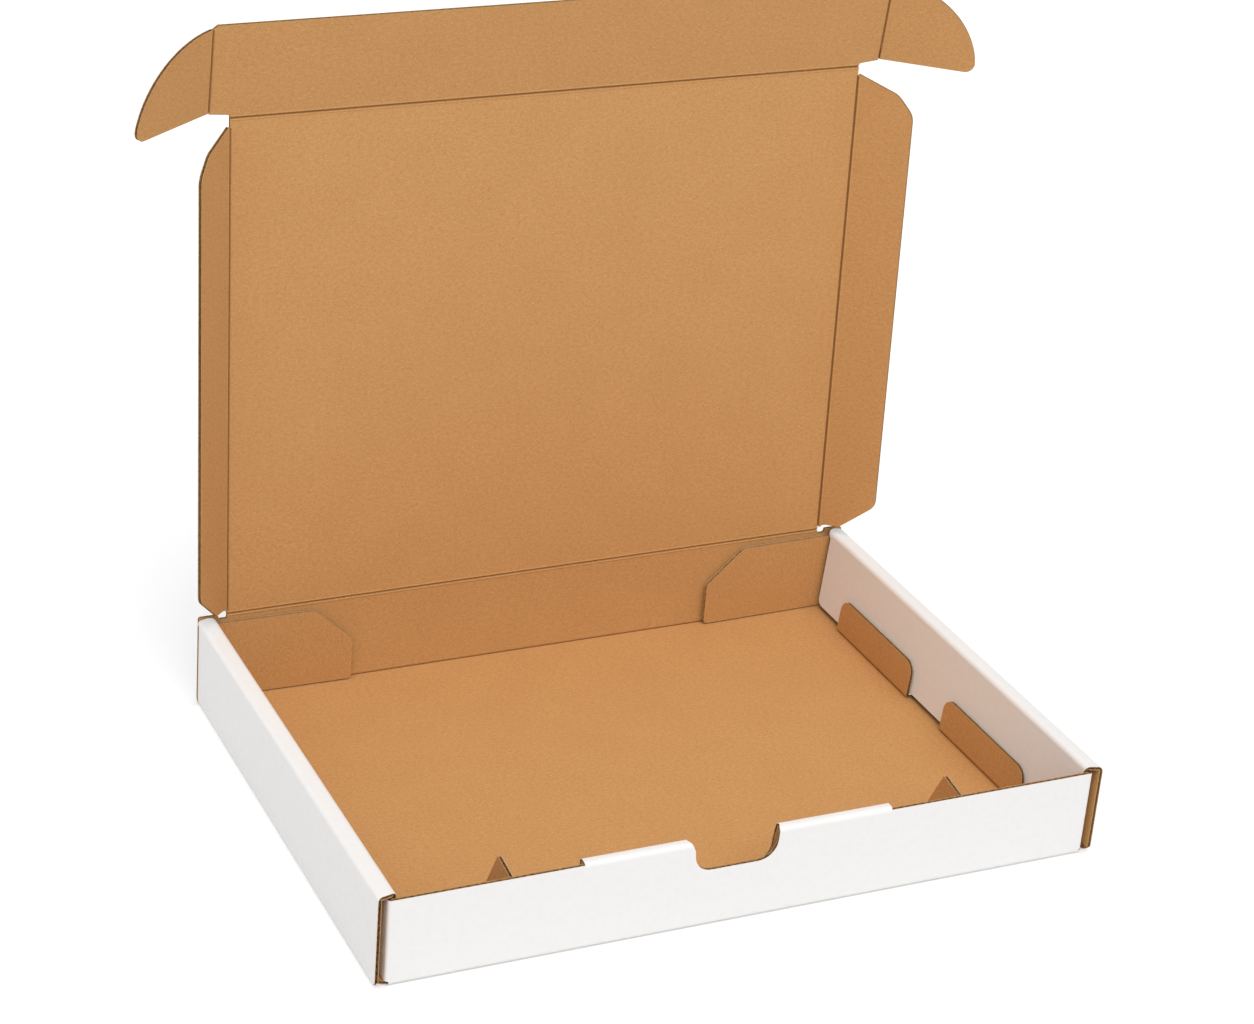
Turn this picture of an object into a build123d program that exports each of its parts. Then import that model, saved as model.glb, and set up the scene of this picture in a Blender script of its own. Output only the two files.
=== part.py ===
"""Literature mailer box: one die-cut sheet of E-flute board, folded and rolled, lid standing open.

Millimetres. X to the right, Y to the back, Z up. The origin is on the ground under the
middle of the front wall's outer face. Bends stop short of the crease line by moving_gap.
"""

import math
import os

from build123d import *

# Board
board = 1.6
bend_in = 0.4
bend = bend_in + board / 2
half = board / 2

# Box
width = 320.0
depth = 227.6
wall_top = 41.0
roof_rise = 1.0
hinge_z = 42.2
moving_gap = 0.05
slide_gap = 0.3

# Front wall and its rolled-over lip
slot = 2.8
front_half = width / 2 - board - slot
front_top = 39.0
lip_top = 39.8
lip_left = -74.4
lip_right = 61.0
lip_depth = 5.4
gusset_inset = 59.5
shoulder_z = 33.8
inner_low = 2.0

# Finger notch, shared by both front panels
notch_middle = -6.7
notch_half = 18.6
notch_low = 26.3
notch_inner_low = 22.4
notch_round = 8.2
notch_draft = 4.6

# Gussets behind the inner front panel
gusset_end = 43.0
gusset_peak_y = 20.5
gusset_peak_z = 36.3

# Front wall's tucked side flaps
tuck_length = 56.5
tuck_low = 2.2
tuck_top = 38.4

# Rolled side walls
roll_head = 7.8
roll_foot = 10.9
inner_foot_z = 4.0
inner_front_y = 2.2
inner_back_gap = 4.0
roof_front_y = 0.8

# Lock tabs folded up from the inner side walls
tab_gap = 0.6
tab_top = 19.0
tab_length = 65.6
tab_offset = 47.7
tab_back = 4.2
tab_round = 6.2
tab_fold_z = 2.5

# Dust flaps from the side walls' back ends
dust_long = 71.6
dust_low = 2.2
dust_top = 39.0
dust_cut_x = 18.0
dust_cut_z = 16.4
dust_spring = 1.6

# Lid
lid_inset = 13.5
lid_lean = 2.4
lid_over = 0.5
hinge_bevel = 26.0
hinge_relief = 4.0
hinge_relief_deep = 2.2

# Lid side flaps
side_flap = 26.6
side_rest = 47.0
rear_start = 1.0
rear_step = 3.1
rear_cut_x = 10.2
rear_cut = 3.5
rear_end = 17.3
nose_start = 3.5
nose_cut_x = 7.5
nose_cut = 10.5
nose_end = 19.0

# Lid front flap and its ears
front_flap_gap = 0.3
front_rest = 10.0
ear_rest = 30.0
ear_gap = 0.3
ear_long = 43.0
ear_start = 2.9
ear_foot = 1.9

hinge_y = depth - board
back_half = width / 2 - 0.5
lid_long = hinge_y + lid_over
front_flap_long = hinge_z - front_flap_gap
ear_half = front_half + ear_gap
ear_high = hinge_z - ear_foot
side_mid = width / 2 - half
inner_front_half = width / 2 - gusset_inset
inner_top_x = width / 2 - roll_head
inner_foot_x = width / 2 - roll_foot
inner_back_y = hinge_y - inner_back_gap
tab_middle = depth / 2 + tab_back
dust_end = width / 2 - dust_long
lid_half = width / 2 - lid_inset

os.makedirs("parts", exist_ok=True)


def across(y):
    """Plane at a given y: local x is X, local y is Z, extruding toward the back."""
    return Plane(origin=(0, y, 0), x_dir=(1, 0, 0), z_dir=(0, -1, 0))


def along(x):
    """Plane at a given x: local x is Y, local y is Z, extruding to the right."""
    return Plane(origin=(x, 0, 0), x_dir=(0, 1, 0), z_dir=(1, 0, 0))


# Tray: floor, four walls, rolled sides, rolled lip, tucked flaps
inner_slope = (inner_top_x - inner_foot_x) / (wall_top + roof_rise - inner_foot_z)


def inner_x(z):
    """Inside face of a rolled side wall at height z."""
    return inner_foot_x + inner_slope * (z - inner_foot_z)


roof_inner_z = wall_top + roof_rise - half
roof_inner_x = inner_x(roof_inner_z) + half
foot_x = inner_x(inner_foot_z) + half
fold_x = inner_x(tab_fold_z) + half
tab_shift = board + tab_gap
roof_outer_z = wall_top - half

with BuildPart() as tray:
    # floor
    with BuildSketch(Plane.XY) as floor:
        with Locations((0, depth / 2)):
            Rectangle(2 * (front_half + slide_gap), depth - 8 * half)
    extrude(amount=board)

    # front wall, its foot crease and the two tucked flaps at its ends
    with BuildSketch(along(-front_half)) as front_section:
        with BuildLine():
            FilletPolyline((6, half), (half, half), (half, front_top), radius=bend)
        trace(line_width=board)
    extrude(amount=2 * front_half)
    with BuildSketch(Plane.XY.offset(tuck_low)) as tuck_section:
        with BuildLine():
            FilletPolyline(
                (-front_half + half, tuck_length),
                (-front_half + half, half),
                (front_half - half, half),
                (front_half - half, tuck_length),
                radius=bend,
            )
        trace(line_width=board)
    extrude(amount=tuck_top - tuck_low)
    with BuildSketch(Plane.XY.offset(tuck_low)) as front_corners:
        with Locations((front_half, 0), (-front_half, 0)):
            Rectangle(2 * bend, 2 * bend)
        with BuildLine():
            FilletPolyline(
                (-front_half + half, tuck_length),
                (-front_half + half, half),
                (front_half - half, half),
                (front_half - half, tuck_length),
                radius=bend,
            )
        trace(line_width=board, mode=Mode.SUBTRACT)
        with Locations((0, bend + board)):
            Rectangle(2 * (front_half - board), 2 * bend + board, mode=Mode.SUBTRACT)
    extrude(amount=wall_top, mode=Mode.SUBTRACT)

    # rolled lip and inner front panel
    lip_mid = (lip_left + lip_right) / 2
    with BuildSketch(along(lip_left)) as lip_section:
        with BuildLine():
            FilletPolyline(
                (half, shoulder_z - 5),
                (half, lip_top - half),
                (lip_depth - half, lip_top - half),
                (lip_depth - half, shoulder_z - 5),
                radius=bend,
            )
        trace(line_width=board)
    extrude(amount=lip_right - lip_left)
    with BuildSketch(across(lip_depth - board)) as inner_front:
        with Locations((0, (shoulder_z + inner_low) / 2)):
            Rectangle(2 * (inner_front_half - bend), shoulder_z - inner_low)
    extrude(amount=-board)
    with BuildSketch(Plane.XY.offset(inner_low)) as gusset_bends:
        with BuildLine() as left_bend:
            FilletPolyline(
                (-inner_front_half + half, lip_depth + 3),
                (-inner_front_half + half, lip_depth - half),
                (-inner_front_half + 4, lip_depth - half),
                radius=bend,
            )
        trace(line_width=board)
        with BuildLine() as right_bend:
            FilletPolyline(
                (inner_front_half - half, lip_depth + 3),
                (inner_front_half - half, lip_depth - half),
                (inner_front_half - 4, lip_depth - half),
                radius=bend,
            )
        trace(line_width=board)
    extrude(amount=shoulder_z - inner_low)
    for gusset_x in (-inner_front_half, inner_front_half - board):
        with BuildSketch(along(gusset_x)) as gusset:
            with BuildLine():
                Polyline(
                    (lip_depth + 2, inner_low),
                    (gusset_end, inner_low),
                    (gusset_peak_y, gusset_peak_z),
                    (lip_depth + 2, shoulder_z),
                    close=True,
                )
            make_face()
        extrude(amount=board)

    # finger notch through both front panels
    for face_y, deep, low in (
        (-1, lip_depth / 2 + 1, notch_low),
        (lip_depth / 2, lip_depth, notch_inner_low),
    ):
        with BuildSketch(across(face_y)) as notch:
            with BuildLine():
                FilletPolyline(
                    (notch_middle - notch_half, wall_top + 3),
                    (notch_middle - notch_half, lip_top - 2),
                    (notch_middle - notch_half + notch_draft, low),
                    (notch_middle + notch_half - notch_draft, low),
                    (notch_middle + notch_half, lip_top - 2),
                    (notch_middle + notch_half, wall_top + 3),
                    radius=notch_round,
                )
                Line(
                    (notch_middle + notch_half, wall_top + 3),
                    (notch_middle - notch_half, wall_top + 3),
                )
            make_face()
        extrude(amount=-deep, mode=Mode.SUBTRACT)

    # back wall
    with BuildSketch(along(-back_half)) as back_section:
        with BuildLine():
            FilletPolyline(
                (depth - 6, half),
                (depth - half, half),
                (depth - half, hinge_z - 4),
                radius=bend,
            )
        trace(line_width=board)
    extrude(amount=2 * back_half)
    back_high = hinge_z - moving_gap
    bevel_drop = board * math.tan(math.radians(hinge_bevel))
    with BuildSketch(along(-back_half)) as back_top:
        with BuildLine():
            Polyline(
                (hinge_y, hinge_z - 5),
                (depth, hinge_z - 5),
                (depth, back_high - bevel_drop),
                (hinge_y, back_high),
                close=True,
            )
        make_face()
    extrude(amount=2 * back_half)
    with BuildSketch(across(hinge_y - 1)) as hinge_holes:
        with Locations(
            (lid_half + hinge_relief / 2, hinge_z),
            (-lid_half - hinge_relief / 2, hinge_z),
        ):
            RectangleRounded(hinge_relief, 2 * hinge_relief_deep, 1)
    extrude(amount=-board - 2, mode=Mode.SUBTRACT)

    # rolled side walls, right then mirrored
    for side in (1, -1):
        with BuildSketch(across(0)) as wall_section:
            with BuildLine():
                FilletPolyline(
                    (side * front_half, half),
                    (side * side_mid, half),
                    (side * side_mid, wall_top - 8),
                    radius=bend,
                )
            trace(line_width=board)
        extrude(amount=-(hinge_y - slide_gap))
        with BuildSketch(across(roof_front_y)) as roof_section:
            with BuildLine():
                FilletPolyline(
                    (side * side_mid, wall_top - 9),
                    (side * side_mid, roof_outer_z),
                    (side * roof_inner_x, roof_inner_z),
                    (side * (inner_x(wall_top - 8) + half), wall_top - 8),
                    radius=bend,
                )
            trace(line_width=board)
        extrude(amount=-(hinge_y - slide_gap - roof_front_y))
        with BuildSketch(across(inner_front_y)) as inner_section:
            with BuildLine():
                Polyline(
                    (side * (inner_x(wall_top - 8) + half), wall_top - 8),
                    (side * foot_x, inner_foot_z),
                )
            trace(line_width=board)
        extrude(amount=-(inner_back_y - inner_front_y))
        for tab_y in (tab_middle - tab_offset, tab_middle + tab_offset):
            tab_front = tab_y - tab_length / 2
            with BuildSketch(across(tab_front)) as tab_section:
                with BuildLine():
                    FilletPolyline(
                        (side * (inner_x(inner_foot_z + 2) + half), inner_foot_z + 2),
                        (side * fold_x, tab_fold_z),
                        (side * (fold_x - tab_shift), tab_fold_z),
                        (side * (inner_x(tab_top) + half - tab_shift), tab_top),
                        radius=tab_shift / 2 - 0.1,
                    )
                trace(line_width=board)
            extrude(amount=-tab_length)
            tab_lean = math.atan(inner_slope)
            with BuildSketch(
                Plane(
                    origin=(side * (inner_x(tab_top) - tab_shift - 0.1), tab_y, tab_top),
                    x_dir=(0, side, 0),
                    z_dir=(side * math.cos(tab_lean), 0, -math.sin(tab_lean)),
                )
            ) as tab_corners:
                with Locations((0, -tab_round / 2 + 1)):
                    Rectangle(tab_length + 2, tab_round + 2)
                with Locations((0, -tab_length / 2)):
                    RectangleRounded(
                        tab_length, tab_length, tab_round, mode=Mode.SUBTRACT
                    )
            extrude(amount=board + 0.35, mode=Mode.SUBTRACT)

        # dust flap folded in from the wall's back end
        with BuildSketch(Plane.XY.offset(dust_low)) as dust_section:
            with BuildLine():
                FilletPolyline(
                    (side * side_mid, hinge_y - 12),
                    (side * side_mid, hinge_y - slide_gap - half),
                    (side * dust_end, hinge_y - slide_gap - half - dust_spring),
                    radius=bend,
                )
            trace(line_width=board)
        extrude(amount=dust_top - dust_low)
        with BuildSketch(across(hinge_y - 8)) as dust_corner:
            with BuildLine():
                Polyline(
                    (side * (dust_end - 1), dust_top + 1),
                    (side * (dust_end - 1), dust_top - dust_cut_z),
                    (side * dust_end, dust_top - dust_cut_z),
                    (side * (dust_end + dust_cut_x), dust_top),
                    (side * (dust_end + dust_cut_x), dust_top + 1),
                    close=True,
                )
            make_face()
        extrude(amount=-7.65, mode=Mode.SUBTRACT)

        # outside of the wall's back crease, and the cut at the front foot
        with BuildSketch(Plane.XY.offset(-1)) as back_round:
            with BuildLine():
                Polyline(
                    (side * (width / 2 + 1), hinge_y - slide_gap - 2 * bend_in),
                    (side * (width / 2), hinge_y - slide_gap - 2 * bend_in),
                    (side * (width / 2 - 2 * bend_in), hinge_y - slide_gap),
                    (side * (width / 2 + 1), hinge_y - slide_gap),
                    close=True,
                )
            make_face()
        extrude(amount=wall_top + 5, mode=Mode.SUBTRACT)
        with BuildSketch(Plane.XY.offset(-1)) as front_cut:
            with BuildLine():
                Polyline(
                    (side * front_half, -1),
                    (side * front_half, slide_gap),
                    (side * (width / 2 + 1), slide_gap + slot),
                    (side * (width / 2 + 1), -1),
                    close=True,
                )
            make_face()
        extrude(amount=board + 1, mode=Mode.SUBTRACT)
tray.part.label = "tray"
export_step(tray.part, "parts/tray.step")

# Lid, leaning back a little from upright
lean = math.radians(lid_lean)
up = Vector(0, math.sin(lean), math.cos(lean))
facing = Vector(0, -math.cos(lean), math.sin(lean))
right = Vector(1, 0, 0)
hinge_line = Vector(0, hinge_y, hinge_z)
lid_plane = Plane(origin=hinge_line, x_dir=right, z_dir=facing)
with BuildPart() as lid:
    with BuildSketch(lid_plane) as lid_face:
        with Locations((0, (lid_long + moving_gap) / 2)):
            Rectangle(2 * lid_half, lid_long - moving_gap)
    extrude(amount=-board)
    hinge_section = Plane(origin=hinge_line - right * 200, x_dir=up, z_dir=right * -1)
    with BuildSketch(hinge_section) as lid_bevel:
        with BuildLine():
            Polyline(
                (-1, -0.02),
                (moving_gap, -0.02),
                (moving_gap, 0),
                (moving_gap + bevel_drop, board),
                (moving_gap + bevel_drop, board + 1),
                (-1, board + 1),
                close=True,
            )
        make_face()
    extrude(amount=-400, mode=Mode.SUBTRACT)
lid.part.label = "lid"
export_step(lid.part, "parts/lid.step")

# Side flaps of the lid, half folded toward the front
rest = math.radians(side_rest)
outward = right * math.cos(rest) + facing * math.sin(rest)
side_plane = Plane(
    origin=hinge_line + right * lid_half, x_dir=outward, z_dir=outward.cross(up)
)
with BuildPart() as lid_right_flap:
    with BuildSketch(side_plane) as side_outline:
        with BuildLine():
            FilletPolyline(
                (moving_gap, 60),
                (moving_gap, rear_start),
                (rear_step, rear_step),
                (rear_cut_x, rear_cut),
                (side_flap, rear_end),
                (side_flap, lid_long - nose_end),
                (side_flap - nose_cut_x, lid_long - nose_cut),
                (moving_gap, lid_long - nose_start),
                (moving_gap, lid_long - 60),
                radius=[0.5, 2, 4, 6, 8, 8, 1],
            )
            Line((moving_gap, lid_long - 60), (moving_gap, 60))
        make_face()
    extrude(amount=-board)
lid_right_flap.part.label = "lid_right_flap"
export_step(lid_right_flap.part, "parts/lid_right_flap.step")
with BuildPart() as lid_left_flap:
    mirror(lid_right_flap.part, about=Plane.YZ)
lid_left_flap.part.label = "lid_left_flap"
export_step(lid_left_flap.part, "parts/lid_left_flap.step")

# Front flap of the lid
front_angle = math.radians(front_rest)
flap_up = up * math.cos(front_angle) + facing * math.sin(front_angle)
flap_facing = facing * math.cos(front_angle) - up * math.sin(front_angle)
flap_line = hinge_line + up * lid_long
with BuildPart() as lid_front_flap:
    with BuildSketch(Plane(origin=flap_line, x_dir=right, z_dir=flap_facing)) as flap_face:
        with BuildLine():
            Polyline(
                (-lid_half, moving_gap),
                (lid_half, moving_gap),
                (lid_half + 1.5, 1.5),
                (ear_half, ear_start - 0.6),
                (ear_half, ear_high),
                (ear_half - 2, front_flap_long),
                (-ear_half + 2, front_flap_long),
                (-ear_half, ear_high),
                (-ear_half, ear_start - 0.6),
                (-lid_half - 1.5, 1.5),
                close=True,
            )
        make_face()
    extrude(amount=-board)
lid_front_flap.part.label = "lid_front_flap"
export_step(lid_front_flap.part, "parts/lid_front_flap.step")

# Ears at the front flap's ends
ear_angle = math.radians(ear_rest)
ear_out = right * math.cos(ear_angle) + flap_facing * math.sin(ear_angle)
ear_plane = Plane(
    origin=flap_line + right * ear_half, x_dir=ear_out, z_dir=ear_out.cross(flap_up)
)
with BuildPart() as right_ear:
    with BuildSketch(ear_plane) as ear_face:
        Ellipse(ear_long, ear_high)
        with Locations((0, -ear_high)):
            Rectangle(
                4 * ear_long,
                2 * (ear_high + ear_start),
                mode=Mode.SUBTRACT,
            )
        with Locations((-ear_long, 0)):
            Rectangle(
                2 * (ear_long + moving_gap), 4 * ear_high, mode=Mode.SUBTRACT
            )
        tip = ear_face.vertices().sort_by(Axis.X)[-1]
        fillet(tip, radius=5)
    extrude(amount=-board)
right_ear.part.label = "right_ear"
export_step(right_ear.part, "parts/right_ear.step")
with BuildPart() as left_ear:
    mirror(right_ear.part, about=Plane.YZ)
left_ear.part.label = "left_ear"
export_step(left_ear.part, "parts/left_ear.step")
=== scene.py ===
import math

import bmesh
import bpy
from mathutils import Matrix, Vector
from mathutils.geometry import delaunay_2d_cdt


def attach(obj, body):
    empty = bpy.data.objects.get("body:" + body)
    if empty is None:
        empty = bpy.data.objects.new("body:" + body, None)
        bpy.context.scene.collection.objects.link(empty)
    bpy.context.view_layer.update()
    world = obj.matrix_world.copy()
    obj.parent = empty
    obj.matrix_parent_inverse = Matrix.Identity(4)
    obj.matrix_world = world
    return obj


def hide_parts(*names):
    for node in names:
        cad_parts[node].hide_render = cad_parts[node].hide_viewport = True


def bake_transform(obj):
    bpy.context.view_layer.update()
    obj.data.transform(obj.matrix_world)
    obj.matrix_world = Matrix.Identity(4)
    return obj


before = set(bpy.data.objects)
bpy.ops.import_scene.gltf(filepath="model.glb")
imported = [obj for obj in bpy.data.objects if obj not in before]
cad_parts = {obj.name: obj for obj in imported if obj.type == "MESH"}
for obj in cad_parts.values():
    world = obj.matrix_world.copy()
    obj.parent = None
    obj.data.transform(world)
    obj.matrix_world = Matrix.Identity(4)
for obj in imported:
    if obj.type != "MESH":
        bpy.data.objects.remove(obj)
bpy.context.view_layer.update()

# Sizes are written in millimetres and scaled when a mesh is made
mm = 0.001
scene = bpy.context.scene
xDir, yDir, zDir = Vector((1, 0, 0)), Vector((0, 1, 0)), Vector((0, 0, 1))

board = {
    "thick": 1.6,
    "liner": 0.24,
    "bend": 1.2,           # mid-line radius of a fold
    "bendSteps": 6,        # faces round a right angle
    "creaseReach": 1.3,    # half length of the soft strip over a moving crease
    "creaseGap": 0.05,     # between the panels that a moving crease joins
    "mapScale": 0.1,       # texture units to a millimetre of the flat sheet
    "mapShift": (3.7, 1.9),    # from one sheet's place on the map to the next
    "sharp": 32,           # degrees
}
flute = {
    "pitch": 3.3,
    "steps": 10,           # faces along one wave
    "paper": 0.2,
    "setBack": 0.1,        # how far the flutes stop short of a cut edge
    "ragged": 0.22,        # how much more a single flute may stop short
    "deep": 5.0,           # how far in from an edge they are modelled
    "roomShare": 0.5,      # or at most this share of the way to the next edge
    "least": 1.0,          # less deep than this, there are none
    "piece": 4.0,          # an edge is taken in pieces of this length
    "weld": 0.0005,
    "sharp": 50,           # degrees
    "seed": 7,
}
half = board["thick"] / 2
reach = board["creaseReach"]
gap = board["creaseGap"]

box = {
    "width": 320.0,
    "wallTop": 41.0,
    "roofRise": 1.0,
    "hingeY": 226.0,
    "hingeZ": 42.2,
}
halfWidth = box["width"] / 2


# Materials

def nodeKit(name):
    material = bpy.data.materials.new(name)
    material.use_nodes = True
    tree = material.node_tree
    shader = tree.nodes["Principled BSDF"]
    return material, tree, shader


def sheetNoise(tree, uv, scale, stretch, detail, rough):
    # noise on the sheet's own map; stretch makes fibres across the flutes
    mapping = tree.nodes.new("ShaderNodeMapping")
    mapping.inputs["Scale"].default_value = (scale * stretch[0], scale * stretch[1], 1)
    noise = tree.nodes.new("ShaderNodeTexNoise")
    noise.inputs["Scale"].default_value = 1.0
    noise.inputs["Detail"].default_value = detail
    noise.inputs["Roughness"].default_value = rough
    tree.links.new(uv.outputs["UV"], mapping.inputs["Vector"])
    tree.links.new(mapping.outputs["Vector"], noise.inputs["Vector"])
    return noise.outputs[0]


def ramp(tree, source, low, high, dark, light):
    node = tree.nodes.new("ShaderNodeMapRange")
    node.inputs["From Min"].default_value = low
    node.inputs["From Max"].default_value = high
    node.inputs["To Min"].default_value = dark
    node.inputs["To Max"].default_value = light
    tree.links.new(source, node.inputs["Value"])
    return node.outputs["Result"]


def mixColour(tree, share, first, second):
    node = tree.nodes.new("ShaderNodeMix")
    node.data_type = "RGBA"
    tree.links.new(share, node.inputs["Factor"])
    for socket, value in ((node.inputs[6], first), (node.inputs[7], second)):
        if isinstance(value, tuple):
            socket.default_value = (*value, 1)
        else:
            tree.links.new(value, socket)
    return node.outputs[2]


def mathNode(tree, kind, first, second=None):
    node = tree.nodes.new("ShaderNodeMath")
    node.operation = kind
    for socket, value in zip(node.inputs, (first, second)):
        if isinstance(value, (int, float)):
            socket.default_value = value
        elif value is not None:
            tree.links.new(value, socket)
    return node.outputs[0]


def fluteGhost(tree, uv, depth):
    # the flutes just show through a liner as faint ribs
    split = tree.nodes.new("ShaderNodeSeparateXYZ")
    tree.links.new(uv.outputs["UV"], split.inputs["Vector"])
    perUnit = 2 * math.pi / (board["mapScale"] * flute["pitch"])
    turn = mathNode(tree, "MULTIPLY", split.outputs["X"], perUnit)
    return mathNode(tree, "MULTIPLY", mathNode(tree, "SINE", turn), depth)


def addBump(tree, shader, heights, distance):
    total = heights[0]
    for other in heights[1:]:
        total = mathNode(tree, "ADD", total, other)
    bump = tree.nodes.new("ShaderNodeBump")
    bump.inputs["Distance"].default_value = distance
    bump.inputs["Strength"].default_value = 0.5
    tree.links.new(total, bump.inputs["Height"])
    tree.links.new(bump.outputs["Normal"], shader.inputs["Normal"])


def paperLayers(tree, uv, look):
    # mixes the look's layers over its base colour, and gives back each layer's noise as well
    colour, noises = look["base"], {}
    for name, layer in look["layers"].items():
        noise = sheetNoise(tree, uv, *(layer[k] for k in ("scale", "stretch", "detail", "rough")))
        share = ramp(tree, noise, *layer["band"], *layer["share"])
        colour = mixColour(tree, share, colour, look[layer["colour"]])
        noises[name] = noise
    return colour, noises


kraftLook = {
    "base": (0.490, 0.243, 0.083),
    "light": (0.640, 0.345, 0.135),
    "speck": (0.330, 0.160, 0.055),
    "pale": (0.720, 0.430, 0.200),
    # crease: painted shade for the dark of a fold's valley, mixed in where the crease attribute is
    # high
    "crease": (0.200, 0.095, 0.034),
    "creaseShadeShare": 0.62,
    "rough": 0.82,
    "shine": 0.25,
    "fibreShow": 1.0,
    "fluteShow": 0.3,
    "relief": 0.00003,
    "layers": {
        "cloud": dict(
            scale=0.4, stretch=(1, 1), detail=3, rough=0.5,
            band=(0.3, 0.7), share=(0.38, 0.62), colour="light"),
        "mottle": dict(
            scale=7, stretch=(0.6, 1), detail=4, rough=0.6,
            band=(0.38, 0.64), share=(0.0, 0.75), colour="base"),
        "fibre": dict(
            scale=22, stretch=(0.3, 1), detail=4, rough=0.6,
            band=(0.46, 0.70), share=(0.0, 0.85), colour="light"),
        "cross": dict(
            scale=20, stretch=(1, 0.35), detail=3, rough=0.6,
            band=(0.50, 0.74), share=(0.0, 0.55), colour="light"),
        "speck": dict(
            scale=24, stretch=(0.5, 1), detail=2, rough=0.5,
            band=(0.61, 0.73), share=(0.0, 0.9), colour="speck"),
        "flake": dict(
            scale=21, stretch=(1, 0.45), detail=2, rough=0.5,
            band=(0.62, 0.73), share=(0.0, 0.85), colour="pale"),
    },
}
whiteLook = {
    "base": (0.850, 0.838, 0.826),
    "shade": (0.815, 0.800, 0.784),
    "rough": (0.47, 0.59),
    "shine": 0.35,
    "fibreShow": 0.7,
    "fluteShow": 0.45,
    "relief": 0.00003,
    "layers": {
        "cloud": dict(
            scale=3.0, stretch=(1, 1), detail=4, rough=0.55,
            band=(0.35, 0.7), share=(0.0, 0.5), colour="shade"),
        "fibre": dict(
            scale=60, stretch=(0.2, 1), detail=5, rough=0.6,
            band=(0.55, 0.8), share=(0.0, 0.35), colour="shade"),
    },
}


def liner(name, look):
    material, tree, shader = nodeKit(name + "Liner")
    uv = tree.nodes.new("ShaderNodeUVMap")
    uv.uv_map = "sheet"
    colour, noises = paperLayers(tree, uv, look)
    # painted shade: the crease attribute darkens the kraft toward its crease colour in each fold's
    # valley
    if "crease" in look:
        creaseShade = tree.nodes.new("ShaderNodeAttribute")
        creaseShade.attribute_name = "crease"
        share = ramp(tree, creaseShade.outputs["Fac"], 0.0, 1.0, 0.0, look["creaseShadeShare"])
        colour = mixColour(tree, share, colour, look["crease"])
    tree.links.new(colour, shader.inputs["Base Color"])
    if isinstance(look["rough"], tuple):
        rough = ramp(tree, noises["cloud"], 0.3, 0.7, *look["rough"])
        tree.links.new(rough, shader.inputs["Roughness"])
    else:
        shader.inputs["Roughness"].default_value = look["rough"]
    shader.inputs["Specular IOR Level"].default_value = look["shine"]
    fibres = ramp(tree, noises["fibre"], 0.2, 0.8, 0.0, look["fibreShow"])
    addBump(tree, shader, [fibres, fluteGhost(tree, uv, look["fluteShow"])], look["relief"])
    return material


rawLook = {
    "grain": 900.0,
    "rough": 0.9,
    "shine": 0.2,
    "relief": 0.00005,
    "whiteRim": ((0.50, 0.35, 0.20), (0.66, 0.50, 0.34)),
    "kraftRim": ((0.42, 0.23, 0.09), (0.56, 0.34, 0.15)),
    "fluteMedium": ((0.17, 0.09, 0.036), (0.27, 0.15, 0.063)),
}


def rawPaper(name):
    # cut rims, the liners' hidden sides and the fluted paper
    look = rawLook
    material, tree, shader = nodeKit(name)
    place = tree.nodes.new("ShaderNodeTexCoord")
    noise = tree.nodes.new("ShaderNodeTexNoise")
    noise.inputs["Scale"].default_value = look["grain"]
    noise.inputs["Detail"].default_value = 3
    tree.links.new(place.outputs["Object"], noise.inputs["Vector"])
    share = ramp(tree, noise.outputs[0], 0.35, 0.65, 0.0, 1.0)
    tree.links.new(mixColour(tree, share, *look[name]), shader.inputs["Base Color"])
    shader.inputs["Roughness"].default_value = look["rough"]
    shader.inputs["Specular IOR Level"].default_value = look["shine"]
    addBump(tree, shader, [noise.outputs[0]], look["relief"])
    return material


materials = {
    "white": liner("white", whiteLook),
    "kraft": liner("kraft", kraftLook),
    "whiteRim": rawPaper("whiteRim"),
    "kraftRim": rawPaper("kraftRim"),
    "flute": rawPaper("fluteMedium"),
}
slotOrder = list(materials)
print("materials made")


# Folded sheets: a path across the folds, and a flat outline wrapped along it

fold = {
    "dip": 0.45,           # how deep the kraft liner buckles into an inside fold
    "dipWide": 0.42,
    "bulge": 0.12,
    "bulgeWide": 0.4,
    "bulgeOut": 0.5,       # the bulge's middle lies this far beyond the bend
    "shadeLineWide": 1.15,    # the painted shade line's width, as a share of the dip's
    "least": 0.3,          # a smaller turn doesn't buckle
    "stops": (0.35, 0.75, 1.3),
}


def foldPath(corners, radius=None, white=1, start=0.0, steps=None):
    # white is 1 where the white liner lies to the right of the path's travel; marks are the
    # start, middle and end of each bend, dips and dents press the kraft and the white liner,
    # and each dip also paints shade into the kraft's fold valley
    radius = board["bend"] if radius is None else radius
    steps = board["bendSteps"] if steps is None else steps
    points = [Vector(c) for c in corners]
    runs, stops, marks, dips, at, last = [], [], [], [], start, points[0]
    for i in range(1, len(points)):
        into = (points[i] - points[i - 1]).normalized()
        if i == len(points) - 1:
            runs.append(("line", at, (points[i] - last).length, last, into))
            at += (points[i] - last).length
            break
        out = (points[i + 1] - points[i]).normalized()
        turn = math.atan2(into.x * out.y - into.y * out.x, into.dot(out))
        r = radius[i - 1] if isinstance(radius, list) else radius
        cut = r * math.tan(abs(turn) / 2)
        begin = points[i] - into * cut
        length = max((begin - last).dot(into), 0.0)
        runs.append(("line", at, length, last, into))
        at += length
        side = 1 if turn > 0 else -1
        centre = begin + Vector((-into.y, into.x)) * (r * side)
        arc = r * abs(turn)
        runs.append(("arc", at, arc, centre, r, math.atan2(into.y, into.x), turn, side))
        count = max(2, round(steps * abs(turn) / (math.pi / 2)))
        stops += [at + arc * k / count for k in range(count + 1)]
        marks.append((at, at + arc / 2, at + arc))
        if turn * white > fold["least"]:
            apart = arc / 2 + fold["bulgeOut"]
            dips.append((at + arc / 2, fold["dip"], fold["dipWide"], fold["bulge"], apart))
            stops += [at + arc + far for far in fold["stops"]]
        at += arc
        last = points[i] + out * cut
    return {
        "runs": runs,
        "stops": stops,
        "marks": marks,
        "dips": dips,
        "dents": [],
        "end": at,
        "white": white,
    }


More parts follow.
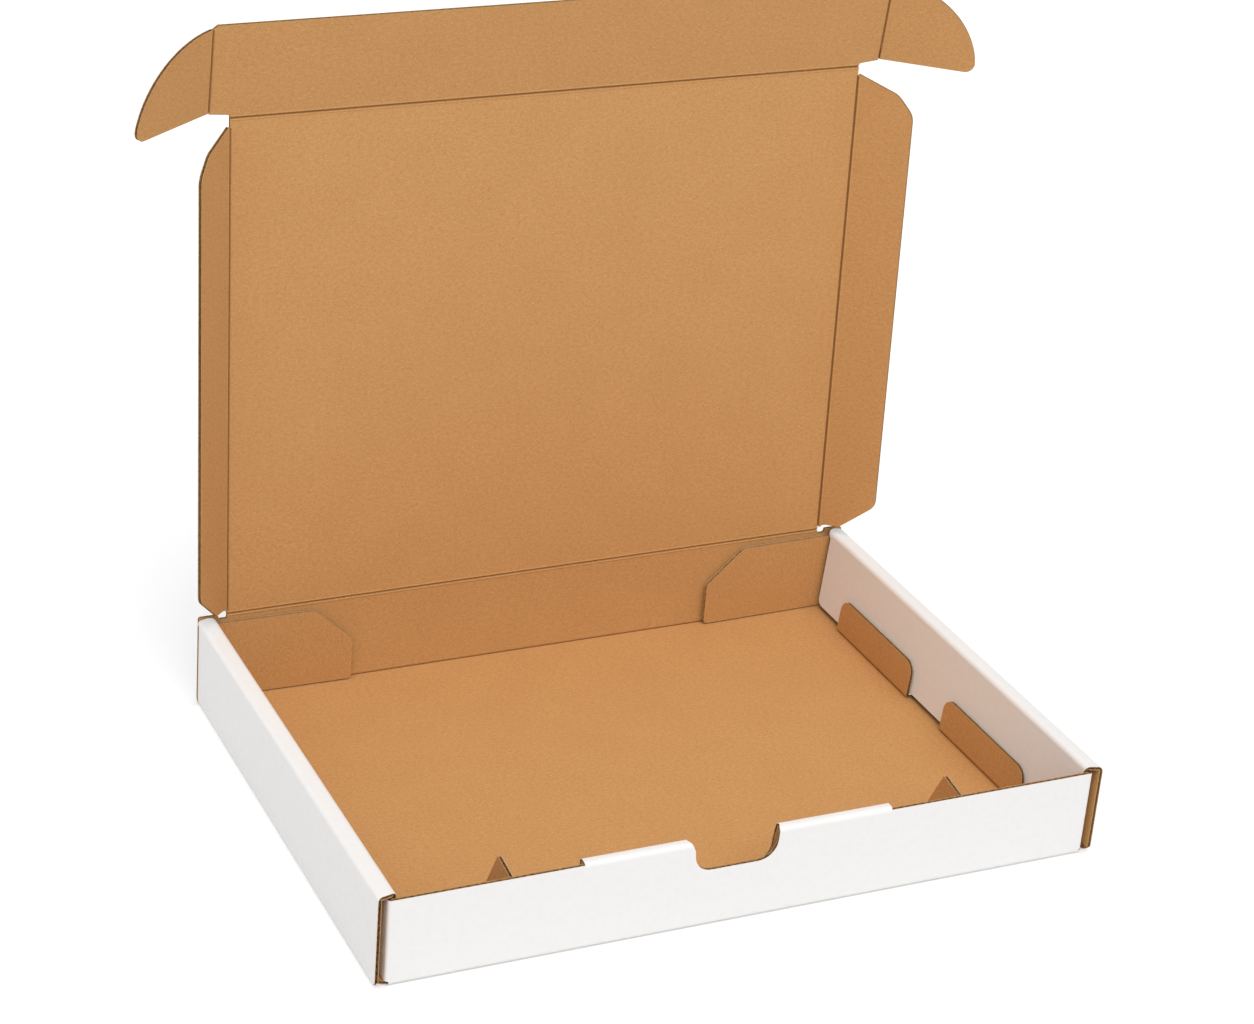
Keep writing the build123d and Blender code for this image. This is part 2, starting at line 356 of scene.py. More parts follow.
def dipAt(dips, p):
    # how far a liner is pressed into the board at p, and how much painted shade darkens the fold's
    # valley there
    depth, dark = 0.0, 0.0
    for middle, deep, wide, bulge, apart in dips:
        far = p - middle
        depth += deep * math.exp(-((far / wide) ** 2))
        depth -= bulge * math.exp(-(((abs(far) - apart) / fold["bulgeWide"]) ** 2))
        dark = max(dark, math.exp(-((far / (wide * fold["shadeLineWide"])) ** 2)))
    return depth, dark


def pathPoint(path, p, n):
    # the point at length p of the path, n out toward the white liner
    run = path["runs"][0]
    for candidate in path["runs"]:
        if p >= candidate[1] - 1e-7:
            run = candidate
    if run[0] == "line":
        into = run[4]
        spot = run[3] + into * (p - run[1])
    else:
        share = min(max((p - run[1]) / run[2], 0.0), 1.0)
        angle = run[5] + run[6] * share
        into = Vector((math.cos(angle), math.sin(angle)))
        spot = run[3] + Vector((into.y, -into.x)) * (run[4] * run[7])
    return spot + Vector((into.y, -into.x)) * (n * path["white"])


cornerShare = 0.74     # the most of a side that a rounded corner takes
cornerStep = math.radians(11)


def roundCorners(corners):
    # corners are (p, q) or (p, q, radius)
    count, done = len(corners), []
    for i, corner in enumerate(corners):
        here = Vector(corner[:2])
        if len(corner) < 3:
            done.append(here)
            continue
        before = Vector(corners[i - 1][:2]) - here
        after = Vector(corners[(i + 1) % count][:2]) - here
        angle = before.angle(after)
        longest = min(before.length, after.length) * cornerShare
        cut = min(corner[2] / math.tan(angle / 2), longest)
        r = cut * math.tan(angle / 2)
        a, b = before.normalized(), after.normalized()
        centre = here + (a + b).normalized() * (r / math.sin(angle / 2))
        first, last = here + a * cut - centre, here + b * cut - centre
        sweep = math.atan2(first.x * last.y - first.y * last.x, first.dot(last))
        steps = max(2, round(abs(sweep) / cornerStep))
        for k in range(steps + 1):
            turn = Matrix.Rotation(sweep * k / steps, 2)
            done.append(centre + turn @ first)
    return done


def makeSheet(path, outline, origin, axes, fluteAxis, lift=0.0, folds=None):
    # outline: flat corners; axes: the path's two directions and the one it is swept along;
    # fluteAxis: "p" along the path or "q" across it; folds: where an edge isn't a cut
    aDir, bDir, qDir = axes

    def place(p, q, n):
        spot = pathPoint(path, p, n + lift)
        return Vector(origin) + aDir * spot.x + bDir * spot.y + qDir * q

    return {
        "place": place,
        "outline": roundCorners(outline),
        "fluteAxis": fluteAxis,
        "stops": path["stops"],
        "dips": path["dips"],
        "dents": path["dents"],
        "folds": folds,
        "flip": aDir.cross(qDir).dot(bDir) * path["white"] > 0,
    }


def insideOutline(outline, x, y):
    inside = False
    j = len(outline) - 1
    for i in range(len(outline)):
        a, b = outline[i], outline[j]
        if (a.y > y) != (b.y > y) and x < (b.x - a.x) * (y - a.y) / (b.y - a.y) + a.x:
            inside = not inside
        j = i
    return inside


def tileSheet(sheet):
    # triangles of the flat outline, cut wherever the path bends
    outline = sheet["outline"]
    lowP, highP = min(v.x for v in outline), max(v.x for v in outline)
    lowQ, highQ = min(v.y for v in outline), max(v.y for v in outline)
    points = [Vector(v) for v in outline]
    links = [(i, (i + 1) % len(outline)) for i in range(len(outline))]
    for stop in sheet["stops"]:
        if lowP + 1e-4 < stop < highP - 1e-4:
            links.append((len(points), len(points) + 1))
            points += [Vector((stop, lowQ - 1)), Vector((stop, highQ + 1))]
    flat, _, faces, _, _, _ = delaunay_2d_cdt(points, links, [], 0, 1e-5)
    kept = []
    for face in faces:
        a, b, c = (flat[i] for i in face)
        area = (b.x - a.x) * (c.y - a.y) - (b.y - a.y) * (c.x - a.x)
        middle = (a + b + c) / 3
        if abs(area) > 1e-7 and insideOutline(outline, middle.x, middle.y):
            kept.append(tuple(face) if area > 0 else tuple(reversed(face)))
    return flat, kept


def addPlate(bm, layers, sheet, tiles, low, high, skins, shift, press=()):
    # one liner: its two skins and its rim; skins are the low, high and rim materials
    flat, kept = tiles
    uvLayer, creaseShadeLayer = layers
    lower, upper, flatOf = {}, {}, {}
    for i in sorted({i for face in kept for i in face}):
        p, q = flat[i]
        depth, dark = dipAt(press, p)
        if low > 0:
            depth = -depth
        lower[i] = bm.verts.new(sheet["place"](p, q, low + depth) * mm)
        upper[i] = bm.verts.new(sheet["place"](p, q, high + depth) * mm)
        # the crease attribute carries the painted shade of a fold's valley
        lower[i][creaseShadeLayer] = upper[i][creaseShadeLayer] = dark
        flatOf[lower[i]] = flatOf[upper[i]] = flat[i]

    def face(corners, skin):
        made = bm.faces.new(corners)
        made.material_index = slotOrder.index(skin)
        made.smooth = True
        for loop in made.loops:
            spot = flatOf[loop.vert]
            along, across = (spot.x, spot.y) if sheet["fluteAxis"] == "q" else (spot.y, spot.x)
            scale = board["mapScale"]
            loop[uvLayer].uv = (along * scale + shift[0], across * scale + shift[1])

    sides = {}
    for tri in kept:
        loop = tri if not sheet["flip"] else tuple(reversed(tri))
        face([upper[i] for i in loop], skins[1])
        face([lower[i] for i in reversed(loop)], skins[0])
        for k in range(3):
            pair = (loop[k], loop[(k + 1) % 3])
            if (pair[1], pair[0]) in sides:
                del sides[(pair[1], pair[0])]
            else:
                sides[pair] = True
    for a, b in sides:
        face([upper[a], lower[a], lower[b], upper[b]], skins[2])


fluteInputs = {
    "Flute pitch": ("Float", flute["pitch"]),
    "Steps per flute": ("Float", float(flute["steps"])),
    "Wave height": ("Float", half - board["liner"] - flute["paper"] / 2),
    "Paper thickness": ("Float", flute["paper"]),
    "Set back": ("Float", flute["setBack"]),
    "Ragged": ("Float", flute["ragged"]),
    "Seed": ("Int", flute["seed"]),
    "Paper": ("Material", materials["flute"]),
}


def fluteTree():
    # turns the cut lines of flat sheets into strips of fluted paper, still flat
    tree = bpy.data.node_groups.new("fluteEdges", "GeometryNodeTree")
    for way in ("INPUT", "OUTPUT"):
        tree.interface.new_socket("Geometry", in_out=way, socket_type="NodeSocketGeometry")
    for name, (kind, _) in fluteInputs.items():
        tree.interface.new_socket(name, in_out="INPUT", socket_type="NodeSocket" + kind)
    nodes, links = tree.nodes, tree.links
    given = nodes.new("NodeGroupInput").outputs
    result = nodes.new("NodeGroupOutput")

    def step(kind, wires, **settings):
        # a node with its settings, fed by the wires; gives back its first output
        node = nodes.new(kind)
        for name, value in settings.items():
            setattr(node, name, value)
        for socket, source in wires.items():
            links.new(source, node.inputs[socket])
        return node.outputs[0]

    def named(name, kind="FLOAT_VECTOR"):
        node = nodes.new("GeometryNodeInputNamedAttribute")
        node.data_type = kind
        node.inputs["Name"].default_value = name
        return node.outputs[0]

    # even steps along each cut line
    curve = step("GeometryNodeMeshToCurve", {"Mesh": given["Geometry"]})
    length = mathNode(tree, "DIVIDE", given["Flute pitch"], given["Steps per flute"])
    sample = step("GeometryNodeResampleCurve", {"Curve": curve, "Length": length}, mode="LENGTH")
    line = step("GeometryNodeCurveToMesh", {"Curve": sample})

    # each half wave stops a little further in than the next
    spot = step("GeometryNodeInputPosition", {})
    dot = nodes.new("ShaderNodeVectorMath")
    dot.operation = "DOT_PRODUCT"
    links.new(spot, dot.inputs[0])
    links.new(named("waveAxis"), dot.inputs[1])
    turns = mathNode(tree, "DIVIDE", dot.outputs["Value"], given["Flute pitch"])
    pick = nodes.new("FunctionNodeRandomValue")
    pick.data_type = "FLOAT"
    links.new(mathNode(tree, "FLOOR", mathNode(tree, "MULTIPLY", turns, 2.0)), pick.inputs["ID"])
    links.new(given["Seed"], pick.inputs["Seed"])
    ragged = mathNode(tree, "MULTIPLY", pick.outputs[1], given["Ragged"])
    back = mathNode(tree, "ADD", given["Set back"], ragged)
    back = mathNode(tree, "MULTIPLY", back, named("across", "FLOAT"))
    inward = step("ShaderNodeVectorMath", {0: named("inward")}, operation="NORMALIZE")
    offset = step("ShaderNodeVectorMath", {0: inward, "Scale": back}, operation="SCALE")
    pulled = step("GeometryNodeSetPosition", {"Geometry": line, "Offset": offset})

    # a ribbon into the board, waved, then given the paper's thickness
    wires = {"Mesh": pulled, "Offset": named("inward")}
    ribbon = step("GeometryNodeExtrudeMesh", wires, mode="EDGES")
    sine = mathNode(tree, "SINE", mathNode(tree, "MULTIPLY", turns, 2 * math.pi))
    height = mathNode(tree, "MULTIPLY", sine, given["Wave height"])
    lift = step("ShaderNodeCombineXYZ", {"Z": height})
    wave = step("GeometryNodeSetPosition", {"Geometry": ribbon, "Offset": lift})
    body = nodes.new("GeometryNodeExtrudeMesh")
    body.mode = "FACES"
    body.inputs["Individual"].default_value = False
    links.new(wave, body.inputs["Mesh"])
    links.new(given["Paper thickness"], body.inputs["Offset Scale"])
    turned = step("GeometryNodeFlipFaces", {0: wave})
    join = nodes.new("GeometryNodeJoinGeometry")
    links.new(body.outputs[0], join.inputs[0])
    links.new(turned, join.inputs[0])
    merge = nodes.new("GeometryNodeMergeByDistance")
    merge.inputs["Distance"].default_value = flute["weld"]
    links.new(join.outputs[0], merge.inputs[0])
    real = step("GeometryNodeRealizeInstances", {0: merge.outputs[0]})
    paint = step("GeometryNodeSetMaterial", {"Geometry": real, "Material": given["Paper"]})
    links.new(paint, result.inputs["Geometry"])
    return tree


fluteNodes = fluteTree()
sheetApart = 1000.0    # each sheet's flat drawing lies this far from the next


def roomAlong(outline, spot, way):
    # distance from a cut edge to the next edge behind it
    nearest = 1e6
    for a, b in zip(outline, outline[1:] + outline[:1]):
        edge = b - a
        slope = way.x * edge.y - way.y * edge.x
        if abs(slope) < 1e-9:
            continue
        to = a - spot
        far = (to.x * edge.y - to.y * edge.x) / slope
        share = (to.x * way.y - to.y * way.x) / slope
        if far > 0.05 and -1e-6 <= share <= 1 + 1e-6:
            nearest = min(nearest, far)
    return nearest


def spansAcross(outline, a, b, fluteDir, inward):
    # a cut across the flutes: short pieces, each as deep as the sheet has room for
    edge = b - a
    way = fluteDir if inward.dot(fluteDir) > 0 else -fluteDir
    count = math.ceil(edge.length / flute["piece"])
    for k in range(count):
        first, last = a + edge * (k / count), a + edge * ((k + 1) / count)
        room = min(roomAlong(outline, first.lerp(last, s), way) for s in (0.02, 0.98))
        depth = min(flute["deep"], room * flute["roomShare"])
        if depth > flute["least"]:
            yield first, last, way * depth, 1.0


def spansAlong(sheet, a, b, inward):
    # a cut along the flutes: parted at the folds, so that each piece stays on one face
    edge = b - a
    back = flute["setBack"]
    if edge.length < 3 * back:
        return
    ends = back / edge.length
    stops = [ends, 1 - ends]
    if sheet["fluteAxis"] == "p" and abs(edge.x) > 1e-6:
        stops += [(s - a.x) / edge.x for s in sheet["stops"]]
    stops = sorted(s for s in stops if ends <= s <= 1 - ends)
    room = roomAlong(sheet["outline"], (a + b) / 2, inward)
    depth = min(flute["deep"], room * flute["roomShare"])
    for s, e in zip(stops, stops[1:]):
        if (e - s) * edge.length > 0.02:
            first = a + edge * s
            yield first + inward * back, first + inward * depth, edge * (e - s), 0.0


def fluteLines(sheets):
    # cut lines of every sheet as loose edges, with the way in and the way the wave runs
    points, links, inward, waves, across = [], [], [], [], []
    for k, sheet in enumerate(sheets):
        outline = sheet["outline"]
        sides = list(zip(outline, outline[1:] + outline[:1]))
        turning = 1 if sum(a.x * b.y - b.x * a.y for a, b in sides) > 0 else -1
        fluteDir, waveDir = Vector((1, 0)), Vector((0, 1))
        if sheet["fluteAxis"] == "q":
            fluteDir, waveDir = waveDir, fluteDir
        shift = Vector((sheetApart * k + sheetApart / 2, 0))
        for a, b in sides:
            edge, middle = b - a, (a + b) / 2
            if edge.length < 0.05 or sheet["folds"](middle.x, middle.y):
                continue
            into = Vector((-edge.y, edge.x)).normalized() * turning
            if abs(edge.normalized().dot(waveDir)) > 0.3:
                spans = spansAcross(outline, a, b, fluteDir, into)
            else:
                spans = spansAlong(sheet, a, b, into)
            for first, last, way, share in spans:
                base = len(points)
                for spot in (first, last):
                    points.append((*(spot + shift), 0.0))
                    inward.append((*way, 0.0))
                    waves.append((*waveDir, 0.0))
                    across.append(share)
                links.append((base, base + 1))
    return points, links, inward, waves, across


def makeFlutes(name, sheets):
    points, links, inward, waves, across = fluteLines(sheets)
    mesh = bpy.data.meshes.new(name + "Lines")
    mesh.from_pydata(points, links, [])
    for label, values in (("inward", inward), ("waveAxis", waves)):
        attribute = mesh.attributes.new(label, "FLOAT_VECTOR", "POINT")
        attribute.data.foreach_set("vector", [c for v in values for c in v])
    mesh.attributes.new("across", "FLOAT", "POINT").data.foreach_set("value", across)
    drawing = bpy.data.objects.new(name + "Lines", mesh)
    scene.collection.objects.link(drawing)
    modifier = drawing.modifiers.new("fluteEdges", "NODES")
    modifier.node_group = fluteNodes
    for item in fluteNodes.interface.items_tree:
        if item.name in fluteInputs:
            modifier[item.identifier] = fluteInputs[item.name][1]
    bpy.context.view_layer.update()
    graph = bpy.context.evaluated_depsgraph_get()
    result = bpy.data.meshes.new_from_object(drawing.evaluated_get(graph))
    bpy.data.objects.remove(drawing)
    thin = flute["paper"] / 2
    for vertex in result.vertices:
        k = int(vertex.co.x // sheetApart)
        p = vertex.co.x - sheetApart * k - sheetApart / 2
        vertex.co = sheets[k]["place"](p, vertex.co.y, vertex.co.z - thin) * mm
    bm = bmesh.new()
    bm.from_mesh(result)
    bmesh.ops.recalc_face_normals(bm, faces=bm.faces)
    for face in bm.faces:
        face.smooth = True
        face.material_index = 0
    bm.to_mesh(result)
    bm.free()
    for label in ("inward", "waveAxis", "across"):
        if label in result.attributes:
            result.attributes.remove(result.attributes[label])
    result.materials.clear()
    result.materials.append(materials["flute"])
    result.set_sharp_from_angle(angle=math.radians(flute["sharp"]))
    result.name = name
    made = bpy.data.objects.new(name, result)
    scene.collection.objects.link(made)
    return made


def makeBoard(name, sheets, middle=None):
    # both liners of every sheet; middle: low and high of a plain layer between them
    bm = bmesh.new()
    # the crease layer holds the painted shade of each fold's valley
    layers = bm.loops.layers.uv.new("sheet"), bm.verts.layers.float.new("crease")
    inner = half - board["liner"]
    for k, sheet in enumerate(sheets):
        tiles = tileSheet(sheet)
        shift = [k * part for part in board["mapShift"]]
        skins = ("kraftRim", "white", "whiteRim")
        addPlate(bm, layers, sheet, tiles, inner, half, skins, shift, sheet["dents"])
        skins = ("kraft", "kraftRim", "kraftRim")
        addPlate(bm, layers, sheet, tiles, -half, -inner, skins, shift, sheet["dips"])
        if middle:
            addPlate(bm, layers, sheet, tiles, *middle, ("flute", "flute", "flute"), shift)
    mesh = bpy.data.meshes.new(name)
    bm.to_mesh(mesh)
    bm.free()
    for slot in slotOrder:
        mesh.materials.append(materials[slot])
    mesh.set_sharp_from_angle(angle=math.radians(board["sharp"]))
    made = bpy.data.objects.new(name, mesh)
    scene.collection.objects.link(made)
    return made


def hang(name, body, sheets):
    # the board stands in for the body's one solid, which has the body's name
    liners, flutes = makeBoard(name + "Board", sheets), makeFlutes(name + "Flutes", sheets)
    for piece in (liners, flutes):
        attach(piece, body)
    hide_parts(body)
    counts = [len(piece.data.polygons) for piece in (liners, flutes)]
    print(body, "made:", counts[0], "board faces,", counts[1], "flute faces")


# Tray: most of its paths start a hair before a bend, so that sheets meet without a step
lead = board["bend"] + 0.001
noShift = (0, 0, 0)


def wallReader(path):
    # turns a height on a wall that follows the path's first bend into a length along it
    return lambda z: path["marks"][0][2] + z - half - board["bend"]


def fromStart(p, q):
    return p < 0.01


sideWall = {
    "rollHead": 7.8,       # inner face at the top, in from the outside
    "rollFoot": 10.9,
    "footZ": 4.0,
    "frontY": 2.2,
    "backY": 222.0,
    "roofFrontY": 0.8,
    "slide": 0.3,
    "tabGap": 0.6,
    "tabTop": 19.0,
    "tabLong": 65.6,
    "tabOffset": 47.7,
    "tabMiddle": 118.0,
    "tabRound": 6.2,
    "tabFoldZ": 2.5,
    "dustLow": 2.2,
    "dustTop": 39.0,
}
roofZ = box["wallTop"] + box["roofRise"]
wallSlope = (sideWall["rollFoot"] - sideWall["rollHead"]) / (roofZ - sideWall["footZ"])


def innerX(z):
    return halfWidth - sideWall["rollFoot"] + wallSlope * (z - sideWall["footZ"])


def sideRoll(side):
    s = sideWall
    mid = halfWidth - half
    foldX, shift = innerX(s["tabFoldZ"]) + half, board["thick"] + s["tabGap"]
    uBend = shift / 2 - 0.05
    path = foldPath(
        [
            (mid - lead, half),
            (mid, half),
            (mid, box["wallTop"] - half),
            (innerX(roofZ - half) + half, roofZ - half),
            (foldX, s["tabFoldZ"]),
            (foldX - shift, s["tabFoldZ"]),
            (innerX(s["tabTop"]) + half - shift, s["tabTop"]),
        ],
        radius=[board["bend"]] * 3 + [uBend] * 2,
    )
    outer, inner, foot = path["marks"][1], path["marks"][2], path["marks"][3][0] - 0.5
    wallAt = wallReader(path)
    rear = box["hingeY"] - s["slide"]
    bendY = rear - half - board["bend"]
    tabs = []
    for middle in (s["tabMiddle"] + s["tabOffset"], s["tabMiddle"] - s["tabOffset"]):
        high, low = middle + s["tabLong"] / 2, middle - s["tabLong"] / 2
        tabs += [(foot, high + 0.8), (foot + 1.0, high), (path["end"], high, s["tabRound"])]
        tabs += [(path["end"], low, s["tabRound"]), (foot + 1.0, low), (foot, low - 0.8)]
    outline = [
        (0.0, 2.8),
        (2.3, 0.0, 0.5),
        (outer[0], 0.0),
        (outer[1], 0.25),
        (outer[2], s["roofFrontY"] - 0.1, 1.0),
        (inner[0], s["roofFrontY"]),
        (inner[1], s["roofFrontY"] + 0.3),
        (inner[2] + 1.2, s["frontY"], 1.0),
        (foot, s["frontY"], 3.0),
        *reversed(tabs),
        (foot, s["backY"], 3.0),
        (inner[2] + 2.0, s["backY"], 1.5),
        (inner[1], rear - 1.2, 0.8),
        (inner[0] - 1.0, rear, 1.0),
        (outer[2], rear),
        (wallAt(s["dustTop"]) + 0.2, rear - 0.2, 0.4),
        (wallAt(s["dustTop"]), bendY),
        (wallAt(s["dustLow"]), bendY),
        (0.0, bendY),
    ]

    def onFold(p, q):
        return p < 0.01 or (q > bendY - 0.05 and p < wallAt(s["dustTop"]) - 0.1)

    return makeSheet(path, outline, noShift, (xDir * side, zDir, yDir), "q", folds=onFold)


frontWall = {
    "halfLong": 155.6,
    "top": 39.0,
    "lipTop": 39.8,
    "lipLeft": -74.4,
    "lipRight": 61.0,
    "lipDepth": 5.4,
    "innerEnds": {1: 98.4, -1: 102.6},
    "shoulderZ": 33.8,
    "innerLow": 2.0,
    "tuckLong": 56.5,
    "tuckLow": 2.2,
    "tuckTop": 38.4,
    "notch": (-26.6, 10.2),
    "notchDraft": 0.7,
    "notchLow": 26.3,
    "notchInnerLow": 22.4,
    "notchRound": (7.6, 8.4),
    "cornerBend": 0.85,
    "gussetEnd": 38.5,
    "gussetPeak": (20.5, 36.3),
}


def frontPanel():
    f = frontWall
    path = foldPath([(half + lead, half), (half, half), (half, f["top"])], white=-1)
    at = wallReader(path)
    neck, top, foot = at(f["lipTop"] - half - board["bend"]), at(f["top"]), at(f["tuckLow"])
    side = f["halfLong"] - half - f["cornerBend"]
    wide = side + 0.3
    left, right = f["notch"]
    low, draft, (leftRound, rightRound) = at(f["notchLow"]), f["notchDraft"], f["notchRound"]
    outline = [
        (0.0, -wide),
        (foot - 0.1, -wide),
        (foot, -side),
        (top, -side),
        (top, f["lipLeft"], 0.3),
        (neck, f["lipLeft"]),
        (neck, left - 0.9),
        (neck - 1.5, left - 0.2, 1.0),
        (low, left + draft, leftRound),
        (low, right - draft, rightRound),
        (neck, right),
        (neck, f["lipRight"]),
        (top, f["lipRight"], 0.3),
        (top, side),
        (foot, side),
        (foot - 0.1, wide),
        (0.0, wide),
    ]

    def onFold(p, q):
        inNotch = left - 0.91 < q < right + 0.01
        return p < 0.01 or abs(abs(q) - side) < 0.02 or (abs(p - neck) < 0.01 and not inNotch)

    return makeSheet(path, outline, noShift, (yDir, zDir, xDir), "p", folds=onFold)


def frontLip():
    # over the top and down inside, as one strip that widens into the inner panel
    f = frontWall
    top, inside = f["lipTop"] - half, f["lipDepth"] - half
    corners = [(half, top - lead), (half, top), (inside, top), (inside, f["innerLow"])]
    path = foldPath(corners, white=-1)
    at = lambda z: path["marks"][1][2] + top - board["bend"] - z
    rightEnd, leftEnd = (f["innerEnds"][s] - half - board["bend"] for s in (1, -1))
    shoulder, over = at(f["shoulderZ"]), path["marks"][0][2]
    left, right = f["notch"]
    low, draft, (leftRound, rightRound) = at(f["notchInnerLow"]), f["notchDraft"], f["notchRound"]
    outline = [
        (0.0, f["lipLeft"]),
        (shoulder, f["lipLeft"], 1.5),
        (shoulder, -leftEnd),
        (path["end"], -leftEnd),
        (path["end"], rightEnd),
        (shoulder, rightEnd),
        (shoulder, f["lipRight"], 1.5),
        (0.0, f["lipRight"]),
        (0.0, right),
        (over * 0.6, right, 0.5),
        (over + 1.0, right + 1.0, 1.5),
        (at(top - 6), right - 0.2, 4.0),
        (low, right - draft, rightRound),
        (low, left + draft, leftRound),
        (at(top - 8), left, 5.0),
        (over + 1.0, left - 3.0, 2.5),
        (over * 0.5, left - 1.5, 1.0),
        (0.0, left - 0.9),
    ]

    def onFold(p, q):
        return p < 0.01 or abs(q - rightEnd) < 0.02 or abs(q + leftEnd) < 0.02

    return makeSheet(path, outline, noShift, (yDir, zDir, xDir), "p", folds=onFold)


def frontTuck(side):
    f = frontWall
    mid, bend = f["halfLong"] - half, f["cornerBend"]
    path = foldPath([(mid - bend - 0.001, half), (mid, half), (mid, f["tuckLong"])], radius=bend)
    outline = [
        (0.0, f["tuckLow"]),
        (path["end"], f["tuckLow"], 4.0),
        (path["end"], f["tuckTop"], 4.0),
        (path["marks"][0][2] + 1.5, f["tuckTop"]),
        (0.0, f["top"]),
    ]
    return makeSheet(path, outline, noShift, (xDir * side, yDir, zDir), "q", folds=fromStart)


def gussetBend(side):
    f = frontWall
    mid, face = f["innerEnds"][side] - half, f["lipDepth"] - half
    path = foldPath([(mid - lead, face), (mid, face), (mid, face + lead)], white=-1)
    low, top, end = f["innerLow"], f["shoulderZ"], path["end"]
    outline = [(0.0, low), (end, low), (end, top), (0.0, top)]

    def onFold(p, q):
        return p < 0.01 or p > end - 0.01

    return makeSheet(path, outline, noShift, (xDir * side, yDir, zDir), "q", folds=onFold)


def gusset(side):
    # the small wing that stands back from the inner panel; brown on its left face at both ends
    f = frontWall
    mid = f["innerEnds"][side] - half
    start, end = f["lipDepth"] - half + board["bend"], f["gussetEnd"]
    path = foldPath([(mid, start), (mid, end)], white=side, start=start)
    outline = [
        (start, f["innerLow"]),
        (end, f["innerLow"], 1.0),
        (*f["gussetPeak"], 1.5),
        (start, f["shoulderZ"]),
    ]

    def onFold(p, q):
        return p < start + 0.01

    return makeSheet(path, outline, noShift, (xDir * side, yDir, zDir), "q", folds=onFold)


backWall = {"halfLong": 159.5, "reliefIn": 146.5, "reliefLong": 4.0, "reliefDeep": 2.2}


def backPanel():
    b = backWall
    mid = box["hingeY"] + half
    path = foldPath([(mid - lead, half), (mid, half), (mid, box["hingeZ"])])
    at = wallReader(path)
    top, high = at(box["hingeZ"] - reach), at(box["hingeZ"] - 0.3)
    slot, into, wide = at(box["hingeZ"] - b["reliefDeep"]), b["reliefIn"], b["halfLong"]
    out = into + b["reliefLong"]
    right = [
        (top, into),
        (slot, into, 0.6),
        (slot, out, 1.0),
        (high, out, 0.6),
        (high, wide, 1.0),
        (0.0, wide),
    ]
    left = [(c[0], -c[1], *c[2:]) for c in reversed(right)]

    def onFold(p, q):
        return p < 0.01 or (abs(p - top) < 0.01 and abs(q) < into)

    return makeSheet(path, left + right, noShift, (yDir, zDir, xDir), "p", folds=onFold)


dustFlap = {"end": 88.4, "cutLong": 18.0, "cutHigh": 16.4, "spring": 1.6}


def dustPanel(side):
    d, low, top = dustFlap, sideWall["dustLow"], sideWall["dustTop"]
    mid = halfWidth - half
    back = box["hingeY"] - sideWall["slide"] - half
    path = foldPath([(mid, back - lead), (mid, back), (d["end"], back - d["spring"])])
    end = path["end"]
    outline = [
        (0.0, low),
        (end, low, 2.0),
        (end, top - d["cutHigh"], 2.5),
        (end - d["cutLong"], top, 3.0),
        (0.0, top),
    ]
    return makeSheet(path, outline, noShift, (xDir * side, yDir, zDir), "p", folds=fromStart)


def floorPanel():
    # folds all round, so it shows no flutes
    edge = halfWidth - half - board["bend"]
    front = half + board["bend"]
    back = box["hingeY"] + half - board["bend"]
    path = foldPath([(-edge, half), (edge, half)], start=-edge)
    outline = [
        (-edge, back),
        (-edge, front + 1.6),
        (-edge + 2.0, front),
        (edge - 2.0, front),
        (edge, front + 1.6),
        (edge, back),
    ]
    return makeSheet(path, outline, noShift, (xDir, zDir, yDir), "q", folds=lambda p, q: True)


traySheets = [floorPanel(), frontPanel(), frontLip(), backPanel()]
for side in (1, -1):
    traySheets += [make(side) for make in (sideRoll, frontTuck, gussetBend, gusset, dustPanel)]
hang("tray", "tray", traySheets)


# Lid, standing open and leaning back a little

lid = {
    "halfLong": 146.5,
    "long": 226.5,
    "lean": 2.4,           # angles of the pose in the photo, in degrees
    "flapRest": 47.0,
    "frontRest": 10.0,
    "earRest": 30.0,
    "creaseRear": 1.6,     # the side creases stop this far from the lid's ends
    "creaseFront": 4.2,
}
lean = math.radians(lid["lean"])
lidUp = Vector((0, math.sin(lean), math.cos(lean)))
lidFace = Vector((0, -math.cos(lean), math.sin(lean)))
hingeLine = Vector((0, box["hingeY"], box["hingeZ"]))
sideCrease = (lid["creaseRear"], lid["long"] - lid["creaseFront"])


def lidPanel():
    wide, high = lid["halfLong"], lid["long"]
    path = foldPath([(-wide, 0), (wide, 0)], start=-wide)
    rear, front = sideCrease
    outline = [
        (-wide, reach),
        (wide, reach),
        (wide, rear),
        (wide - reach, rear),
        (wide - reach, front),
        (wide, front),
        (wide, high - reach),
        (-wide, high - reach),
        (-wide, front),
        (-wide + reach, front),
        (-wide + reach, rear),
        (-wide, rear),
    ]

    def onFold(p, q):
        return q < reach + 0.01 or q > high - reach - 0.01 or rear - 0.01 < q < front + 0.01

    return makeSheet(path, outline, hingeLine, (xDir, lidFace, lidUp), "q", lift=half, folds=onFold)


sideFlap = {
    "wide": 26.6,
    "rearStart": 1.5,
    "rearStep": 3.1,
    "rearCutX": 10.2,
    "rearCut": 3.5,
    "rearEnd": 17.3,
    "noseStart": 3.5,
    "noseCutX": 7.5,
    "noseCut": 10.5,
    "noseEnd": 19.0,
}


def sideFlapPanel(side):
    s, high, wide = sideFlap, lid["long"], sideFlap["wide"]
    turn = math.radians(lid["flapRest"])
    out = xDir * (side * math.cos(turn)) + lidFace * math.sin(turn)
    normal = out.cross(lidUp) * side
    path = foldPath([(0, 0), (wide, 0)])
    rear, front = sideCrease
    outline = [
        (gap, s["rearStart"]),
        (s["rearStep"], s["rearStep"], 2.0),
        (s["rearCutX"], s["rearCut"], 4.0),
        (wide, s["rearEnd"], 6.0),
        (wide, high - s["noseEnd"], 8.0),
        (wide - s["noseCutX"], high - s["noseCut"], 8.0),
        (gap, high - s["noseStart"], 0.6),
        (gap, front),
        (reach, front),
        (reach, rear),
        (gap, rear),
    ]

    def onFold(p, q):
        return p < reach + 0.02 and rear - 0.01 < q < front + 0.01

    origin = hingeLine + xDir * (side * lid["halfLong"])
    return makeSheet(path, outline, origin, (out, normal, lidUp), "q", lift=half, folds=onFold)


